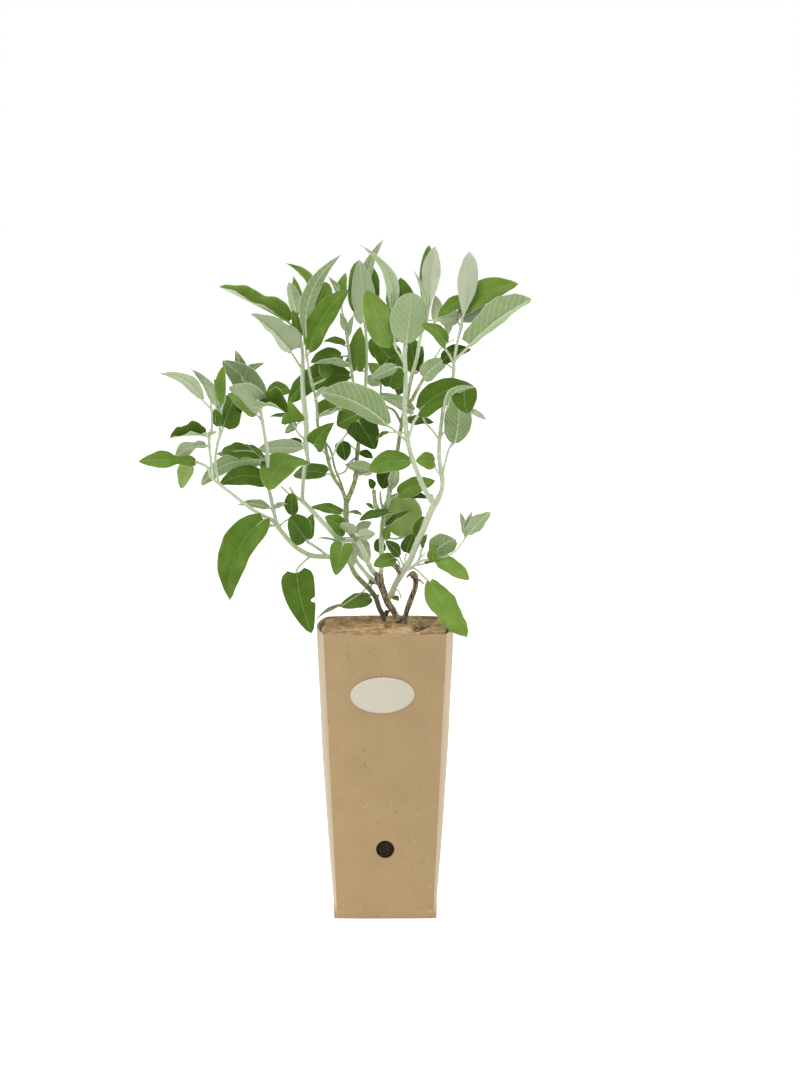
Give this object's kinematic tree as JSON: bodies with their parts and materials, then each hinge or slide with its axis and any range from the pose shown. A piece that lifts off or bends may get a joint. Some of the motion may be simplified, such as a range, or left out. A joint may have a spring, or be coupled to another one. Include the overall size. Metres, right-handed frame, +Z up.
{
  "type": "potted salvia",
  "caption": "Potted salvia in a tall square carton pot with a blank oval label, a fibre mat over the soil, and a loose woody plant of green leaves with silver undersides",
  "frame": {"origin": "centre of the pot's square base, on the ground", "axes": "+Z up, -Y to the front, where the label is; +X to the right seen from the front"},
  "size_m": [0.322, 0.1587, 0.5721],
  "materials": {
    "kraft_board": "matte, flecked with light and dark fibres",
    "label_paper": "matte",
    "peat_soil": "rough, moist",
    "coir": "rough fibre felt",
    "old_wood": "rough bark",
    "sage_foliage": "soft, finely haired leaf",
    "woolly_foliage": "dense pale wool"
  },
  "bodies": {
    "root": {"carton_pot": "kraft_board", "name_label": "label_paper", "growing_medium": "peat_soil", "fibre_mat": "coir", "woody_crown": "old_wood", "low_left_stem": "sage_foliage", "tall_left_stem": "sage_foliage", "centre_stem": "sage_foliage", "woolly_shoot": "woolly_foliage", "upright_stem": "sage_foliage", "right_stem": "sage_foliage", "low_right_shoot": "sage_foliage"}
  },
  "joints": []
}
